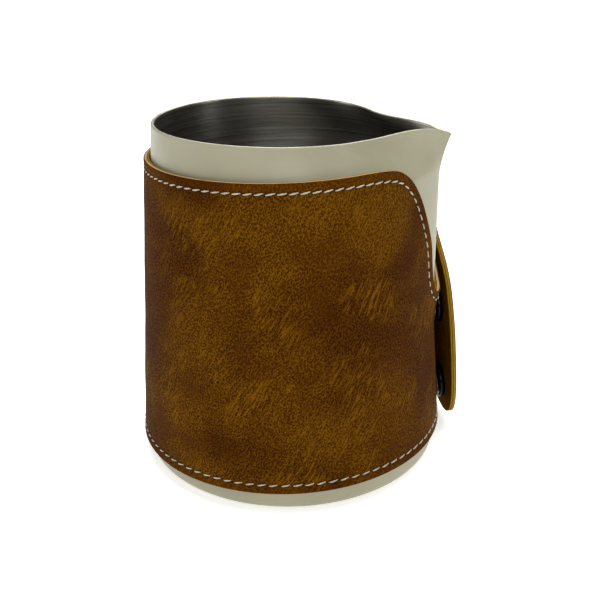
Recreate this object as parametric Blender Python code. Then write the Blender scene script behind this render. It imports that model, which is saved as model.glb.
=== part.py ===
"""Milk frothing pitcher: a spouted steel jug in a stitched leather wrap that closes with two snap fasteners.

Units are metres. +Z is up, +X is the pouring direction, and the origin is the centre of the underside.
Azimuths are angles about Z, measured from +X towards +Y.
"""

import math

import bmesh
import bpy
from mathutils import Matrix, Vector

MM = 0.001

# Steel jug
HEIGHT = 100.3 * MM
RIM_RADIUS = 37.4 * MM
WALL_SLOPE = 0.0754  # the wall widens downwards by this much per unit of height
BASE_RADIUS = 42.1 * MM
WALL = 1.0 * MM
FLOOR = 1.2 * MM

# Spout: the lip's outline seen from above runs from a crease on each side to the tip
CREASE = Vector((23.4, 20.9, -1.8)) * MM
LIP_SHOULDER = Vector((30.1, 12.5, -2.7)) * MM
LIP_NOSE = Vector((38.4, 3.8, -0.3)) * MM
TIP = Vector((46.3, 0.0, -3.7)) * MM
RIM_PULL = math.radians(109)  # how far round from the crease the rim is still drawn inwards
LIP_DEPTH = 13.0 * MM  # how far below the rim the crease fades out
KEEL_RADIUS = 43.3 * MM
KEEL_FOOT = 38.0 * MM
KEEL_FULL = 52.0 * MM
KEEL_FLARE = 84.0 * MM
KEEL_CURVE = 1.7  # how sharply the ridge flares out below the tip
NOSE_ROUNDING = math.radians(4)

# Leather wrap
WRAP_TOP = 91.8 * MM
WRAP_BOTTOM = 6.4 * MM
WRAP_TILT = 0.9 * MM  # the wrap's edges stand this much higher under the spout than at mid girth
LINING_OFFSET = 0.3 * MM
LINING = 0.6 * MM
LAYER_GAP = 0.2 * MM
LEATHER = 0.9 * MM
LEATHER_OFFSET = LINING_OFFSET + LINING + LAYER_GAP
WRAP_OFFSET = LEATHER_OFFSET + LEATHER
FOLD_AZIMUTH = 50.0  # degrees
FOLD_RAMP = 14.0  # degrees over which the top edge rises from the fold to its full height
FOLD_GAP = 0.4 * MM
NOTCH_AZIMUTH = -2.0  # degrees
TONGUE_END = 28.0  # degrees past the notch's centre

# Closure
SNAP_AZIMUTH = 15.0  # degrees
SNAP_HEIGHTS = {"lower": 13.6 * MM, "upper": 40.2 * MM}
SNAP_STACK = 3.05 * MM  # from the tongue's face to the flap's lining
SNAP_RADIUS = 5.8 * MM
SNAP_DOME = 1.75 * MM  # the cap's height over the flap
STUD_FLANGE = 5.4 * MM
STUD_HEAD = 2.15 * MM  # how far the stud's head stands off the tongue
SHANK_RADIUS = 1.1 * MM
SHANK_FOOT = 2.45 * MM  # the cap's shank ends this far off the tongue
SHANK_HOLE = 1.6 * MM
POST_FLANGE = 3.5 * MM
POST_HOLE = 4.0 * MM
FLANGE = 0.4 * MM
HOLE_REACH = 12.0 * MM
CLEARANCE = 0.25 * MM
FLAP_FLAT = 7.0 * MM  # the flap is flat from this far behind the snaps to its free edge
FLAP_REACH = 12.4 * MM  # from the snaps to the free edge
FLAP_HANDLE = 7.0 * MM

# Stitching
SEAM_INSET = 2.6 * MM
FLAP_SEAM_INSET = 1.8 * MM
THREAD_RADIUS = 0.3 * MM
THREAD_LIFT = 0.3 * MM
STUD_CLEAR = 5.0  # degrees: the bottom seam ends here, short of the lower stud

# The notch under the spout: (degrees from its centre, height)
NEAR_EDGE = (
    (0.0, 49.1),
    (3.5, 49.6),
    (6.3, 51.4),
    (8.6, 54.9),
    (9.5, 60.0),
    (9.9, 66.2),
    (13.2, 72.8),
    (17.5, 80.0),
    (22.2, 85.1),
    (27.5, 88.7),
    (33.0, 90.7),
    (39.0, 91.4),
    (46.0, 91.8),
)
# The tongue's upper edge, on the other side of the notch
TONGUE_EDGE = (
    (0.0, 49.1),
    (3.5, 49.6),
    (6.3, 51.4),
    (8.6, 54.4),
    (12.0, 57.5),
    (16.0, 59.5),
    (21.0, 60.2),
    (25.5, 58.5),
    (28.0, 54.0),
)
# The flap's upper and lower edges: (millimetres back from the free edge, height)
FLAP_TOP = (
    (0.0, 33.0),
    (1.2, 41.0),
    (3.4, 49.0),
    (7.4, 54.0),
    (12.5, 58.0),
    (17.5, 61.5),
    (22.0, 66.5),
    (27.0, 75.0),
    (32.0, 83.0),
    (38.0, 88.5),
    (48.0, 91.6),
)
FLAP_BOTTOM = (
    (0.0, 18.0),
    (0.6, 13.5),
    (1.8, 9.6),
    (3.4, 6.6),
    (5.4, 4.3),
    (8.0, 2.9),
    (12.5, 2.2),
    (20.0, 3.0),
    (38.0, 6.4),
)
BOTTOM_CORNER = ((0.0, 12.0), (1.4, 8.4), (4.5, 6.4))


def clear_scene():
    for obj in list(bpy.data.objects):
        bpy.data.objects.remove(obj, do_unlink=True)


def material(name, colour, roughness, metallic=0.0):
    made = bpy.data.materials.new(name)
    made.use_nodes = True
    shader = made.node_tree.nodes["Principled BSDF"]
    shader.inputs["Base Color"].default_value = (*colour, 1.0)
    shader.inputs["Roughness"].default_value = roughness
    shader.inputs["Metallic"].default_value = metallic
    made.diffuse_color = (*colour, 1.0)
    return made


def smoothstep(value):
    held = min(max(value, 0.0), 1.0)
    return held * held * (3.0 - 2.0 * held)


def read_outline(points, where):
    """The height of an outline given as (place, millimetres), read between its points."""
    if where <= points[0][0]:
        return points[0][1] * MM
    for (left, low), (right, high) in zip(points, points[1:]):
        if where <= right:
            return (low + (high - low) * (where - left) / (right - left)) * MM
    return points[-1][1] * MM


# The jug's shape


def cone_radius(z):
    return RIM_RADIUS + WALL_SLOPE * (HEIGHT - z)


def keel_radius(z):
    """The ridge under the spout: upright in the middle, flared at the tip, faded out at its foot."""
    tip_height = HEIGHT + TIP.z
    flare = max(0.0, (z - KEEL_FLARE) / (tip_height - KEEL_FLARE))
    full = KEEL_RADIUS + (TIP.x - KEEL_RADIUS) * flare**KEEL_CURVE
    foot = smoothstep((z - KEEL_FOOT) / (KEEL_FULL - KEEL_FOOT))
    return cone_radius(z) + (full - cone_radius(z)) * foot


def section_radius(azimuth, z):
    """A round section with the ridge's two flanks running off it as tangents."""
    cone = cone_radius(z)
    keel = keel_radius(z)
    if keel <= cone:
        return cone
    flank = math.acos(cone / keel)
    turn = abs(math.remainder(azimuth, math.tau))
    eased = math.hypot(turn, NOSE_ROUNDING) - NOSE_ROUNDING
    return cone / math.cos(max(0.0, flank - eased))


def lip_point(share):
    """A point of the lip, from the crease (0) to the tip (1)."""
    rest = 1.0 - share
    return (
        CREASE * rest**3
        + LIP_SHOULDER * (3 * rest**2 * share)
        + LIP_NOSE * (3 * rest * share**2)
        + TIP * share**3
    )


def rim_at(azimuth):
    """The rim's radius and height at an azimuth."""
    turn = abs(math.remainder(azimuth, math.tau))
    crease_turn = math.atan2(CREASE.y, CREASE.x)
    if turn >= crease_turn:
        pull = max(0.0, (crease_turn + RIM_PULL - turn) / RIM_PULL) ** 2
        crease_radius = math.hypot(CREASE.x, CREASE.y)
        return RIM_RADIUS + (crease_radius - RIM_RADIUS) * pull, HEIGHT + CREASE.z * pull
    low, high = 0.0, 1.0
    for _ in range(30):
        middle = (low + high) / 2
        point = lip_point(middle)
        if math.atan2(point.y, point.x) > turn:
            low = middle
        else:
            high = middle
    point = lip_point(low)
    return math.hypot(point.x, point.y), HEIGHT + point.z


def jug_radius(azimuth, z):
    """The jug's outer radius: its section, drawn in near the rim to meet the lip."""
    rim_radius, rim_height = rim_at(azimuth)
    drawn = smoothstep((z - rim_height + LIP_DEPTH) / LIP_DEPTH)
    return section_radius(azimuth, z) + drawn * (rim_radius - section_radius(azimuth, rim_height))


def wall_inset(azimuth, z):
    """How far in along the radius the inner face lies: more where the wall runs slantwise, as at the tip."""
    step = math.radians(1)
    here = jug_radius(azimuth, z)
    change = max(abs(jug_radius(azimuth + turn, z) - here) for turn in (-step, step))
    return WALL * math.hypot(1.0, change / (step * here))


def polar(radius, azimuth, z):
    return Vector((radius * math.cos(azimuth), radius * math.sin(azimuth), z))


# Mesh helpers


def object_from(name, points, faces, look, parent=None):
    mesh = bpy.data.meshes.new(name)
    mesh.from_pydata([tuple(point) for point in points], [], faces)
    shaped = bmesh.new()
    shaped.from_mesh(mesh)
    bmesh.ops.recalc_face_normals(shaped, faces=shaped.faces)
    shaped.to_mesh(mesh)
    shaped.free()
    mesh.shade_smooth()
    mesh.set_sharp_from_angle(angle=math.radians(35))
    mesh.materials.append(look)
    obj = bpy.data.objects.new(name, mesh)
    bpy.context.scene.collection.objects.link(obj)
    if parent is not None:
        obj.parent = parent
        obj.matrix_parent_inverse = parent.matrix_world.inverted()
    return obj


def rings_object(name, rings, look):
    """A closed body from rings of equal length, with a flat face on the first and on the last."""
    count = len(rings[0])
    points = [point for ring in rings for point in ring]
    faces = [tuple(range(count)), tuple(range(len(points) - count, len(points)))]
    for row in range(len(rings) - 1):
        for step in range(count):
            after = (step + 1) % count
            here, above = row * count, (row + 1) * count
            faces.append((here + step, here + after, above + after, above + step))
    return object_from(name, points, faces, look)


def sheet_object(name, outer, inner, look, parent=None):
    """A closed sheet between two grids of points, given as columns from bottom to top."""
    columns, rows = len(outer), len(outer[0])
    points = [point for grid in (outer, inner) for column in grid for point in column]

    def at(side, column, row):
        return side * columns * rows + column * rows + row

    faces = []
    for column in range(columns - 1):
        for row in range(rows - 1):
            for side in (0, 1):
                faces.append(
                    (
                        at(side, column, row),
                        at(side, column + 1, row),
                        at(side, column + 1, row + 1),
                        at(side, column, row + 1),
                    )
                )
    for column in range(columns - 1):
        for row in (0, rows - 1):
            faces.append(
                (at(0, column, row), at(0, column + 1, row), at(1, column + 1, row), at(1, column, row))
            )
    for row in range(rows - 1):
        for column in (0, columns - 1):
            faces.append(
                (at(0, column, row), at(0, column, row + 1), at(1, column, row + 1), at(1, column, row))
            )
    return object_from(name, points, faces, look, parent)


def turned_object(name, profile, frame, look, parent=None, steps=20):
    """A profile of (radius, height) turned about the frame's Z axis. A closed profile makes a ring."""
    on_axis = profile[0][0] == 0.0
    points = []
    faces = []
    turned = profile[1:-1] if on_axis else profile
    for step in range(steps):
        azimuth = math.tau * step / steps
        points += [frame @ polar(radius, azimuth, height) for radius, height in turned]
    count = len(turned)
    for step in range(steps):
        here, there = step * count, (step + 1) % steps * count
        for row in range(count - 1 if on_axis else count):
            after = (row + 1) % count
            faces.append((here + row, there + row, there + after, here + after))
    if on_axis:
        for end, row in ((profile[0], 0), (profile[-1], count - 1)):
            points.append(frame @ Vector((0.0, 0.0, end[1])))
            for step in range(steps):
                there = (step + 1) % steps * count
                faces.append((len(points) - 1, step * count + row, there + row))
    return object_from(name, points, faces, look, parent)


def thread_object(name, path, look, parent=None):
    """A sewing thread as a thin tube along a path."""
    curve = bpy.data.curves.new(name, "CURVE")
    curve.dimensions = "3D"
    curve.bevel_depth = THREAD_RADIUS
    curve.bevel_resolution = 0
    curve.use_fill_caps = True
    spline = curve.splines.new("POLY")
    spline.points.add(len(path) - 1)
    for point, place in zip(spline.points, path):
        point.co = (*place, 1.0)
    curve.materials.append(look)
    obj = bpy.data.objects.new(name, curve)
    bpy.context.scene.collection.objects.link(obj)
    if parent is not None:
        obj.parent = parent
        obj.matrix_parent_inverse = parent.matrix_world.inverted()
    return obj


def cut_holes(obj, radius, frames):
    for side, frame in frames.items():
        cutter = turned_object(
            f"{obj.name}_{side}_cutter",
            ((0.0, -HOLE_REACH / 2), (radius, -HOLE_REACH / 2), (radius, HOLE_REACH), (0.0, HOLE_REACH)),
            frame,
            obj.data.materials[0],
            steps=16,
        )
        cutter.hide_render = True
        cutter.display_type = "WIRE"
        cut = obj.modifiers.new(f"{side}_hole", "BOOLEAN")
        cut.object = cutter


# Pieces


def make_jug(look):
    """One spun shell: underside, outer wall, rim, inner wall and floor, ring by ring."""
    lip_steps = 11
    girth_steps = 20
    crease_turn = math.atan2(CREASE.y, CREASE.x)
    half = []
    for step in range(lip_steps):
        point = lip_point(1.0 - step / lip_steps)
        half.append(math.atan2(point.y, point.x))
    for step in range(girth_steps + 1):
        half.append(crease_turn + (math.pi - crease_turn) * step / girth_steps)
    azimuths = half + [-turn for turn in reversed(half[1:-1])]

    levels = [share * MM for share in (12, 38, 43, 48, 53, 68, 84)]
    levels += [HEIGHT - LIP_DEPTH * share for share in (1.0, 0.75, 0.5, 0.25, 0.0)]

    def wall_ring(level, inner):
        ring = []
        for azimuth in azimuths:
            z = level * rim_at(azimuth)[1] / HEIGHT
            inset = wall_inset(azimuth, z) if inner else 0.0
            ring.append(polar(jug_radius(azimuth, z) - inset, azimuth, z))
        return ring

    def corner_rings(radius, rise, z, inset):
        """The rounded corner between a flat of this radius and the wall, from the flat outwards."""
        rings = []
        for step in range(4):
            turn = math.radians(90) * step / 3
            height = z + rise * (1.0 - math.cos(turn))
            out = cone_radius(z + rise) - inset
            reach = radius + (out - radius) * math.sin(turn)
            rings.append([polar(reach, azimuth, height) for azimuth in azimuths])
        return rings

    rise = cone_radius(0.0) - BASE_RADIUS
    rings = corner_rings(BASE_RADIUS, rise, 0.0, 0.0)
    rings += [wall_ring(level, False) for level in levels]
    rings += [wall_ring(level, True) for level in reversed(levels)]
    rings += reversed(corner_rings(BASE_RADIUS - WALL, rise, FLOOR, WALL))
    return rings_object("pitcher_body", rings, look)


def wrap_shift(azimuth):
    return WRAP_TILT * math.cos(azimuth)


def wrap_azimuths():
    """Degrees from the fold, round the back and the near side, to the tongue's end."""
    girth_steps = 32
    near_start = 360.0 + NOTCH_AZIMUTH - NEAR_EDGE[-1][0]
    start = FOLD_AZIMUTH
    places = [start + (near_start - start) * step / girth_steps for step in range(girth_steps)]
    places += [360.0 + NOTCH_AZIMUTH - place for place, _ in reversed(NEAR_EDGE)]
    places += [360.0 + NOTCH_AZIMUTH + place for place, _ in TONGUE_EDGE[1:]]
    return places


def wrap_heights(degrees):
    """The wrap's lower and upper edge at an azimuth given in degrees from the fold onwards."""
    past_notch = degrees - 360.0 - NOTCH_AZIMUTH
    top = read_outline(NEAR_EDGE, -past_notch) if past_notch < 0 else read_outline(TONGUE_EDGE, past_notch)
    if degrees < 180.0:
        fold_top = flap_top(flap_length())
        top = fold_top + (WRAP_TOP - fold_top) * smoothstep((degrees - FOLD_AZIMUTH) / FOLD_RAMP)
    bottom = WRAP_BOTTOM
    if past_notch > 0:
        from_end = math.radians(TONGUE_END - past_notch) * KEEL_RADIUS / MM
        bottom = read_outline(BOTTOM_CORNER, from_end)
    shift = wrap_shift(math.radians(degrees))
    return bottom + shift, top + shift


def make_wrap_layer(name, inset, thickness, look, rows=7):
    outer, inner = [], []
    for degrees in wrap_azimuths():
        azimuth = math.radians(degrees)
        bottom, top = wrap_heights(degrees)
        heights = [bottom + (top - bottom) * row / (rows - 1) for row in range(rows)]
        radii = [section_radius(azimuth, z) for z in heights]
        if degrees == FOLD_AZIMUTH:
            azimuth += FOLD_GAP / RIM_RADIUS
        outer.append([polar(r + inset + thickness, azimuth, z) for r, z in zip(radii, heights)])
        inner.append([polar(r + inset, azimuth, z) for r, z in zip(radii, heights)])
    return sheet_object(name, outer, inner, look)


def snap_frame(height, lift):
    """A frame on the tongue's face at the snaps' azimuth, with Z pointing straight out of the leather."""
    azimuth = math.radians(SNAP_AZIMUTH)
    out = Vector((math.cos(azimuth), math.sin(azimuth), WALL_SLOPE)).normalized()
    across = Vector((math.sin(azimuth), -math.cos(azimuth), 0.0))
    upward = out.cross(across)
    foot = polar(cone_radius(height) + WRAP_OFFSET, azimuth, height) + out * lift
    return Matrix.Translation(foot) @ Matrix((across, upward, out)).transposed().to_4x4()


def flap_plan(lift, z):
    """The flap's course at a height, as a curve and a straight run: fold, two handles, start of flat, end.

    `lift` is the distance out from the inner face of the flap's lining.
    """
    fold = math.radians(FOLD_AZIMUTH)
    snap = math.radians(SNAP_AZIMUTH)
    start = polar(cone_radius(z) + LINING_OFFSET + lift, fold, z)
    along_start = Vector((math.sin(fold), -math.cos(fold), 0.0))
    along_end = Vector((math.sin(snap), -math.cos(snap), 0.0))
    seat = polar(cone_radius(z) + WRAP_OFFSET + SNAP_STACK + lift, snap, z)
    flat = seat - along_end * FLAP_FLAT
    end = seat + along_end * FLAP_REACH
    return start, start + along_start * FLAP_HANDLE, flat - along_end * FLAP_HANDLE, flat, end


def flap_length():
    """The flap's length from its free edge to the fold, at mid height."""
    start, _, _, flat, end = flap_plan(0.0, HEIGHT / 2)
    return (end - flat).length + (flat - start).length


def flap_point(back, lift, z):
    """A point of the flap, given its distance back from the free edge, its lift and its height."""
    start, first, second, flat, end = flap_plan(lift, z)
    straight = FLAP_FLAT + FLAP_REACH
    if back <= straight:
        return end + (flat - end) * (back / straight)
    share = min(1.0, (back - straight) / (flap_length() - straight))
    rest = 1.0 - share
    return flat * rest**3 + second * (3 * rest**2 * share) + first * (3 * rest * share**2) + start * share**3


def flap_top(back):
    return read_outline(FLAP_TOP, back / MM)


def flap_bottom(back):
    return read_outline(FLAP_BOTTOM, back / MM)


def make_flap_layer(name, lift, thickness, look, hinge, rows=7):
    backs = [place * MM for place in (0.0, 0.6, 1.8, 3.4, 5.4, 7.4, 10.0, 12.5, 17.5, 22.0, 27.0, 32.0, 38.0)]
    backs = [back for back in backs if back < flap_length() - 2 * MM] + [flap_length()]
    outer, inner = [], []
    for back in backs:
        shift = WRAP_TILT
        bottom, top = flap_bottom(back) + shift, flap_top(back) + shift
        heights = [bottom + (top - bottom) * row / (rows - 1) for row in range(rows)]
        if back == backs[-1]:
            drop = wrap_shift(math.radians(FOLD_AZIMUTH)) - shift
            heights = [z + drop for z in heights]
        outer.append([flap_point(back, lift + thickness, z) for z in heights])
        inner.append([flap_point(back, lift, z) for z in heights])
    return sheet_object(name, outer, inner, look, hinge)


def inset_path(outline, inset):
    """Points a fixed distance to the right of an outline of (across, height) points."""
    moved = []
    for index, (across, height) in enumerate(outline):
        before = outline[max(0, index - 1)]
        after = outline[min(len(outline) - 1, index + 1)]
        run, rise = after[0] - before[0], after[1] - before[1]
        size = math.hypot(run, rise)
        moved.append((across + inset * rise / size, height - inset * run / size))
    return moved


def on_wrap(across, height):
    """A point over the wrap's face, given its distance round the wall from azimuth 0 and its height."""
    azimuth = across / KEEL_RADIUS
    radius = section_radius(azimuth, height) + WRAP_OFFSET + THREAD_LIFT + THREAD_RADIUS
    return polar(radius, azimuth, height)


def make_wrap_threads(look):
    """The seam along the wrap's top and notch, and the seam along its bottom."""
    margin = math.degrees(SEAM_INSET / KEEL_RADIUS)
    places = [degrees for degrees in wrap_azimuths() if degrees >= FOLD_AZIMUTH + margin]
    top, bottom = [], []
    for degrees in places:
        across = math.radians(degrees) * KEEL_RADIUS
        low, high = wrap_heights(degrees)
        top.append((across, high))
        if degrees < 360.0 + STUD_CLEAR:
            bottom.append((across, low + SEAM_INSET))
    seam = [on_wrap(*point) for point in inset_path(top, SEAM_INSET)[:-1]]
    thread_object("sleeve_top_seam_thread", seam, look)
    thread_object("sleeve_bottom_seam_thread", [on_wrap(*point) for point in bottom], look)


def make_flap_thread(look, hinge):
    """The seam that runs down the flap's top edge, along its free edge and back along its bottom."""
    margin = 3 * MM
    places = [7.4, 12.5, 17.5, 22.0, 27.0, 32.0, 38.0]
    backs = [place * MM for place in places if place * MM < flap_length() - margin]
    outline = [(flap_length() - margin, flap_bottom(flap_length() - margin))]
    outline += [(back, flap_bottom(back)) for back in reversed(backs)]
    outline += [(back * MM, flap_bottom(back * MM)) for back in (5.4, 3.4, 1.8, 0.6, 0.0)]
    outline += [(0.0, (flap_bottom(0.0) + flap_top(0.0)) / 2)]
    outline += [(back * MM, flap_top(back * MM)) for back in (0.0, 1.2, 3.4)]
    outline += [(back, flap_top(back)) for back in backs]
    face = LINING + LAYER_GAP + LEATHER + THREAD_LIFT + THREAD_RADIUS
    path = inset_path(outline, FLAP_SEAM_INSET)
    thread_object(
        "flap_seam_thread",
        [flap_point(back, face, height + WRAP_TILT) for back, height in path],
        look,
        hinge,
    )


def make_snap(side, frame, cap_look, metal_look, hinge):
    """One snap fastener. Heights are measured out from the tongue's face."""
    flap_face = SNAP_STACK + LINING + LAYER_GAP + LEATHER + CLEARANCE
    flange_low = -(LEATHER + LAYER_GAP + LINING + CLEARANCE * 0.2)
    post = (
        (0.0, flange_low),
        (POST_FLANGE, flange_low),
        (POST_FLANGE, flange_low + FLANGE),
        (SHANK_RADIUS, flange_low + FLANGE),
        (SHANK_RADIUS, 2 * FLANGE),
        (0.0, 2 * FLANGE),
    )
    turned_object(f"{side}_snap_post", post, frame, metal_look)
    stud = (
        (1.4 * MM, CLEARANCE),
        (STUD_FLANGE, CLEARANCE),
        (STUD_FLANGE, CLEARANCE + FLANGE),
        (1.9 * MM, CLEARANCE + 0.5 * MM),
        (1.8 * MM, 1.5 * MM),
        (2.1 * MM, 1.8 * MM),
        (1.9 * MM, STUD_HEAD),
        (1.4 * MM, STUD_HEAD),
    )
    turned_object(f"{side}_snap_stud", stud, frame, metal_look)
    spring = (
        (2.15 * MM, 1.3 * MM),
        (2.55 * MM, 1.3 * MM),
        (2.55 * MM, 1.65 * MM),
        (2.15 * MM, 1.65 * MM),
    )
    turned_object(f"{side}_snap_ring_spring", spring, frame, metal_look, hinge, steps=16)
    socket = (
        (2.4 * MM, 1.0 * MM),
        (SNAP_RADIUS - 0.5 * MM, 1.0 * MM),
        (SNAP_RADIUS, 1.4 * MM),
        (SNAP_RADIUS, SNAP_STACK - CLEARANCE),
        (1.5 * MM, SNAP_STACK - CLEARANCE),
        (1.5 * MM, 2.5 * MM),
        (2.9 * MM, 2.4 * MM),
        (2.9 * MM, 1.15 * MM),
    )
    turned_object(f"{side}_snap_socket", socket, frame, cap_look, hinge)
    cap = (
        (0.0, SHANK_FOOT),
        (SHANK_RADIUS, SHANK_FOOT),
        (SHANK_RADIUS, flap_face),
        (SNAP_RADIUS, flap_face),
        (SNAP_RADIUS, flap_face + 0.5 * MM),
        (SNAP_RADIUS - 0.8 * MM, flap_face + 1.1 * MM),
        (SNAP_RADIUS * 0.5, flap_face + 1.6 * MM),
        (0.0, flap_face + SNAP_DOME),
    )
    turned_object(f"{side}_snap_cap", cap, frame, cap_look, hinge)


def make_hinge():
    """The fold line's empty: on the leather's outer face, with Z along the wall's slope."""
    fold = math.radians(FOLD_AZIMUTH)
    z = HEIGHT / 2
    up = Vector((-WALL_SLOPE * math.cos(fold), -WALL_SLOPE * math.sin(fold), 1.0)).normalized()
    hinge = bpy.data.objects.new("flap_hinge", None)
    bpy.context.scene.collection.objects.link(hinge)
    hinge.location = polar(cone_radius(z) + WRAP_OFFSET, fold + FOLD_GAP / (2 * RIM_RADIUS), z)
    hinge.rotation_euler = up.to_track_quat("Z", "Y").to_euler()
    bpy.context.view_layer.update()
    return hinge


def main():
    clear_scene()
    steel = material("cream_painted_steel", (0.62, 0.58, 0.46), 0.4)
    leather = material("brown_leather", (0.13, 0.05, 0.012), 0.5)
    lining = material("tan_lining", (0.42, 0.2, 0.03), 0.8)
    thread = material("cream_thread", (0.6, 0.56, 0.46), 0.7)
    black = material("black_enamel", (0.01, 0.01, 0.01), 0.2)
    plated = material("blackened_brass", (0.05, 0.04, 0.03), 0.3, 1.0)

    make_jug(steel)
    hinge = make_hinge()
    frames = {side: snap_frame(height, 0.0) for side, height in SNAP_HEIGHTS.items()}

    sleeve_lining = make_wrap_layer("sleeve_lining", LINING_OFFSET, LINING, lining)
    cut_holes(sleeve_lining, POST_HOLE, frames)
    sleeve_leather = make_wrap_layer("sleeve_outer_leather", LEATHER_OFFSET, LEATHER, leather)
    cut_holes(sleeve_leather, SHANK_HOLE, frames)
    flap_lining = make_flap_layer("flap_lining", 0.0, LINING, lining, hinge)
    cut_holes(flap_lining, SHANK_HOLE, frames)
    flap_leather = make_flap_layer("flap_outer_leather", LINING + LAYER_GAP, LEATHER, leather, hinge)
    cut_holes(flap_leather, SHANK_HOLE, frames)

    make_wrap_threads(thread)
    make_flap_thread(thread, hinge)
    for side, frame in frames.items():
        make_snap(side, frame, black, plated, hinge)


main()
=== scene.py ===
"""Milk frothing pitcher: finished surfaces for the steel jug and its stitched leather wrap.

Lengths are in metres, +Z is up and +X is the pouring direction. The origin is the centre of the underside.
Azimuths are angles about Z, measured from +X towards +Y. A place on the wrap is (girth, height): girth is
the distance round the wall from azimuth 0 at GIRTH_RADIUS, and lift is the distance out from the wall.
"""

import math
import random

import bpy
import numpy as np
from mathutils import Matrix, Vector, noise
from mathutils.geometry import delaunay_2d_cdt


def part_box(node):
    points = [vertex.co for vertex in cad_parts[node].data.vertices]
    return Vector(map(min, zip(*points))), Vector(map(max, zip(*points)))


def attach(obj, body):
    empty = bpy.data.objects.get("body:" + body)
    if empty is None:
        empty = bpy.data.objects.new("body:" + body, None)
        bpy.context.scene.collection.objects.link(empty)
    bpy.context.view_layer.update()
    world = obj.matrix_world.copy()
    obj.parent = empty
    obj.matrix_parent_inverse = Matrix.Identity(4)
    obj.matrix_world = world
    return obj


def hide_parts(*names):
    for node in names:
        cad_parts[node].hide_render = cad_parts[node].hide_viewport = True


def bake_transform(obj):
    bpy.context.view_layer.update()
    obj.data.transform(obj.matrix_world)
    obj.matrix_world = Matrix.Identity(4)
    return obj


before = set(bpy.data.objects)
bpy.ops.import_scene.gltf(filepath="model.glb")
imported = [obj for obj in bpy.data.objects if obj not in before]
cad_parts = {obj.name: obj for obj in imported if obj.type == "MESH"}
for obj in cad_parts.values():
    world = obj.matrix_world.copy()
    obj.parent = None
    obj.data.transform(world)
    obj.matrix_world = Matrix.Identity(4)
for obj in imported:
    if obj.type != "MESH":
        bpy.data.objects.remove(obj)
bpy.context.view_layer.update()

bl_info = {
    "name": "Milk Frothing Pitcher",
    "version": (1, 0, 0),
    "blender": (4, 5, 0),
    "location": "View3D > Sidebar > Pitcher",
    "description": "Builds the finished surfaces of a leather-wrapped milk frothing pitcher",
    "category": "Object",
}

MM = 0.001

# Steel jug, as in the CAD model
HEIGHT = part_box("pitcher_body")[1].z
RIM_RADIUS = 37.4 * MM
WALL_SLOPE = 0.0754
BASE_RADIUS = 42.1 * MM
WALL = 1.0 * MM
FLOOR = 1.2 * MM
CREASE = Vector((23.4, 20.9, -1.8)) * MM
LIP_SHOULDER = Vector((30.1, 12.5, -2.7)) * MM
LIP_NOSE = Vector((38.4, 3.8, -0.3)) * MM
TIP = Vector((46.3, 0.0, -3.7)) * MM
RIM_PULL = math.radians(109)
LIP_DEPTH = 13.0 * MM
KEEL_RADIUS = 43.3 * MM
KEEL_FOOT = 38.0 * MM
KEEL_FULL = 52.0 * MM
KEEL_FLARE = 84.0 * MM
KEEL_CURVE = 1.7
NOSE_ROUNDING = math.radians(4)

# Leather wrap, as in the CAD model
GIRTH_RADIUS = KEEL_RADIUS
WRAP_TOP = 91.8 * MM
WRAP_BOTTOM = 6.4 * MM
WRAP_TILT = 0.9 * MM
LINING_LOW = 0.3 * MM
LINING_HIGH = 0.9 * MM
LEATHER_LOW = 1.0 * MM
LEATHER_HIGH = 2.0 * MM
FOLD_AZIMUTH = 50.0
JOIN_AZIMUTH = 60.0  # the flap's leather carries on past the fold and meets the sleeve's here
NOTCH_AZIMUTH = -2.0
TONGUE_END = 28.0
SNAP_AZIMUTH = 15.0
SNAP_HEIGHTS = {"lower": 13.6 * MM, "upper": 40.2 * MM}
SNAP_STACK = 3.05 * MM
SNAP_RADIUS = 5.8 * MM
CLEARANCE = 0.25 * MM
FLAP_FLAT = 7.0 * MM
FLAP_REACH = 12.4 * MM
FLAP_HANDLE = 7.0 * MM
FOLD_RAMP = 14.0  # degrees over which the top edge climbs past the fold
TILT_FADE = 15.0  # millimetres of flap over which the wrap's tilt fades in
SEAM_INSET = 2.6 * MM
FLAP_SEAM_INSET = 1.8 * MM
STUD_CLEAR = 5.0

# Outlines of the wrap: (degrees or millimetres along, height in millimetres)
NEAR_EDGE = (
    (0.0, 49.1), (3.5, 49.6), (6.3, 51.4), (8.6, 54.9), (9.5, 60.0), (9.9, 66.2), (13.2, 72.8),
    (17.5, 80.0), (22.2, 85.1), (27.5, 88.7), (33.0, 90.7), (39.0, 91.4), (46.0, 91.8),
)
TONGUE_EDGE = (
    (0.0, 49.1), (3.5, 49.6), (6.3, 51.4), (8.6, 54.4), (12.0, 57.5), (16.0, 59.5), (21.0, 60.2),
    (25.5, 58.5), (28.0, 54.0),
)
FLAP_TOP = (
    (0.0, 33.0), (1.2, 41.0), (3.4, 49.0), (7.4, 54.0), (12.5, 58.0), (17.5, 61.5), (22.0, 66.5),
    (27.0, 75.0), (32.0, 83.0), (38.0, 88.5), (48.0, 91.6),
)
FLAP_BOTTOM = (
    (0.0, 18.0), (0.6, 13.5), (1.8, 9.6), (3.4, 6.6), (5.4, 4.3), (8.0, 2.9), (12.5, 2.2),
    (20.0, 3.0), (38.0, 6.4),
)
BOTTOM_CORNER = ((0.0, 12.0), (1.4, 8.4), (4.5, 6.4))

OUTLINE_STEP = 0.8 * MM
PANEL_STEP = 1.6 * MM
EDGE_ROUND = 0.32 * MM
INNER_ROUND = 0.04 * MM  # where the leather and its lining are pressed together
GROOVE_DEPTH = 0.24 * MM
GROOVE_REACH = 1.1 * MM
RIPPLE_WAVES = (55.0, 130.0)  # broad and narrow waves, per metre
RIPPLE_EASE = 3.0 * MM
JOIN_EASE = 6.0 * MM

STITCH_SLANT = 0.18
SLANT_SPREAD = 0.05
STITCH_RINGS = 11
STITCH_SIDES = 10
HOLE_SIDES = 12
HOLE_SINK = 0.14 * MM

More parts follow.
